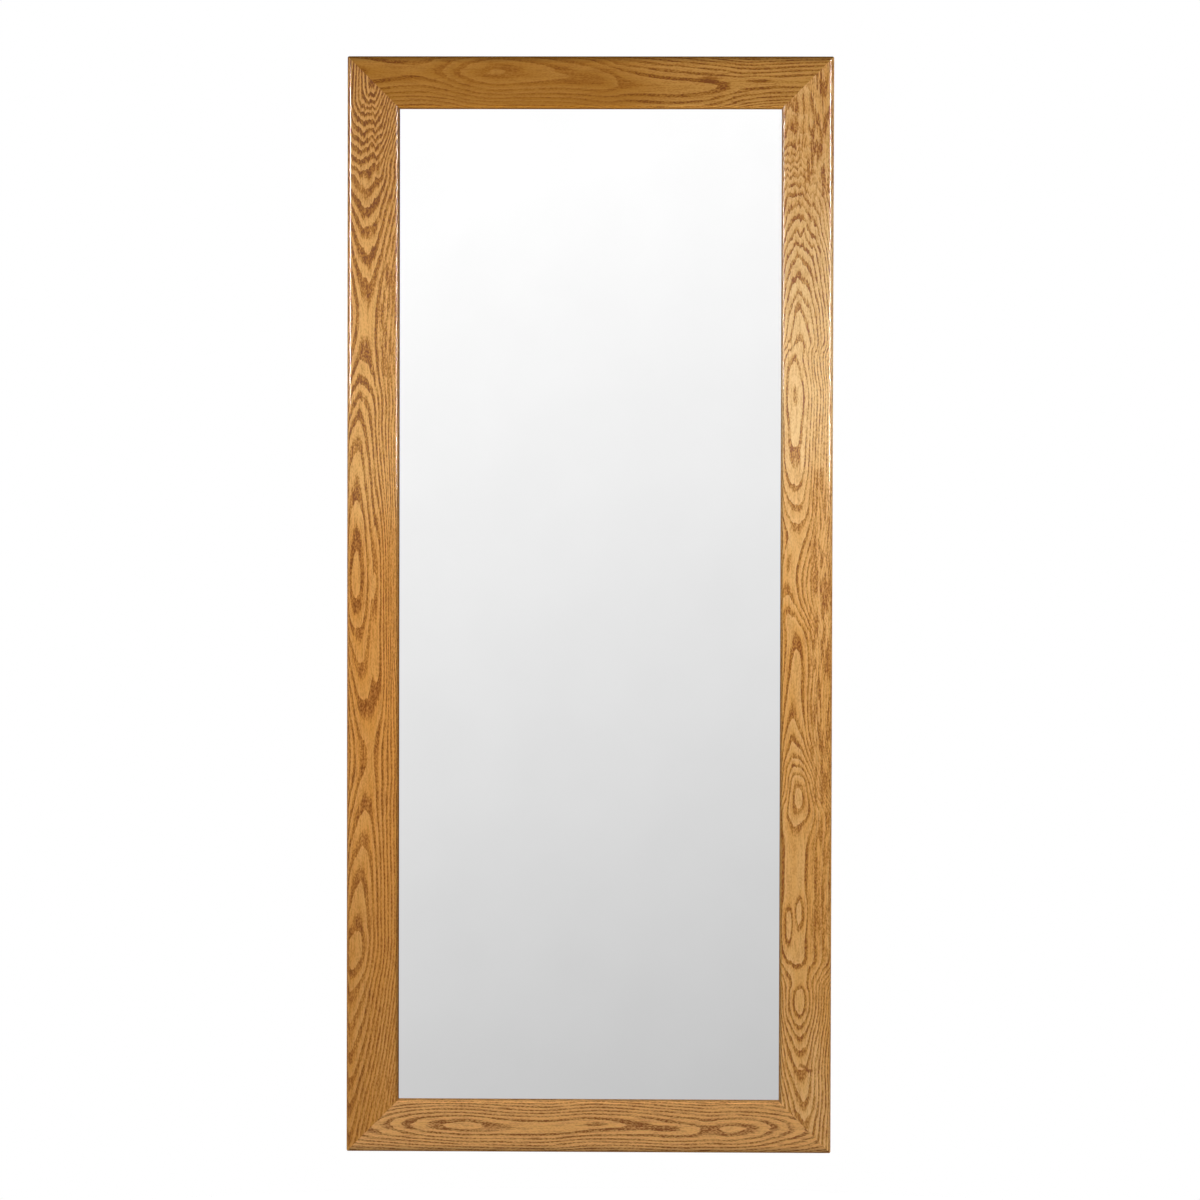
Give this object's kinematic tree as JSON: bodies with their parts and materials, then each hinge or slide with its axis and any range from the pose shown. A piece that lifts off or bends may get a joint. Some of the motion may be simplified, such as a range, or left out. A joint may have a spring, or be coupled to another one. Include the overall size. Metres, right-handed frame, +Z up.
{
  "type": "wall mirror",
  "caption": "Tall rectangular wall mirror: plain silvered glass in a mitred solid oak frame with softened edges, backed by a screwed panel, with hanging rings that swing on straps.",
  "frame": {"origin": "centre of the wall plane, which the faces of the four rear bumpers touch", "axes": "+Z up along the height, +Y into the wall, -Y out of the glass, +X to the right as seen from the front"},
  "size_m": [0.797, 0.038, 1.8],
  "materials": {
    "oak": "satin lacquer",
    "dowel": "bare beech",
    "mirror_glass": "polished",
    "tape": "matt foam tape",
    "packer": "matt",
    "foam": "closed-cell foam",
    "plywood": "sanded birch plywood",
    "screw_steel": "zinc plated",
    "plate_steel": "zinc plated",
    "hanger_steel": "nickel plated",
    "bumper_rubber": "moulded rubber"
  },
  "bodies": {
    "mirror": {"stile_left": "oak", "stile_right": "oak", "rail_top": "oak", "rail_bottom": "oak", "mitre_dowels": "dowel", "mirror_glass": "mirror_glass", "front_tape_left": "tape", "front_tape_right": "tape", "front_tape_top": "tape", "front_tape_bottom": "tape", "setting_block_left": "packer", "setting_block_right": "packer", "side_packers_left": "packer", "side_packers_right": "packer", "rear_foam_left": "foam", "rear_foam_right": "foam", "rear_foam_top": "foam", "rear_foam_bottom": "foam", "rear_foam_middle": "foam", "back_panel": "plywood", "back_panel_screws": "screw_steel", "corner_plate_screws": "screw_steel", "hanger_strap_screws": "screw_steel", "wall_bumper_screws": "screw_steel", "corner_plate_top_left": "plate_steel", "corner_plate_top_right": "plate_steel", "corner_plate_bottom_left": "plate_steel", "corner_plate_bottom_right": "plate_steel", "hanger_strap_left": "hanger_steel", "hanger_strap_right": "hanger_steel", "wall_bumper_top_left": "bumper_rubber", "wall_bumper_top_right": "bumper_rubber", "wall_bumper_bottom_left": "bumper_rubber", "wall_bumper_bottom_right": "bumper_rubber"},
    "left_ring": {"hanger_ring_left": "hanger_steel"},
    "right_ring": {"hanger_ring_right": "hanger_steel"}
  },
  "joints": [
    {"name": "left_ring_swing", "type": "hinge", "parent": "mirror", "child": "left_ring", "pos_m": [-0.3685, -0.0042, 0.6], "axis": [1, 0, 0], "range_deg": [0, 180]},
    {"name": "right_ring_swing", "type": "hinge", "parent": "mirror", "child": "right_ring", "pos_m": [0.3685, -0.0042, 0.6], "axis": [1, 0, 0], "range_deg": [0, 180]}
  ]
}
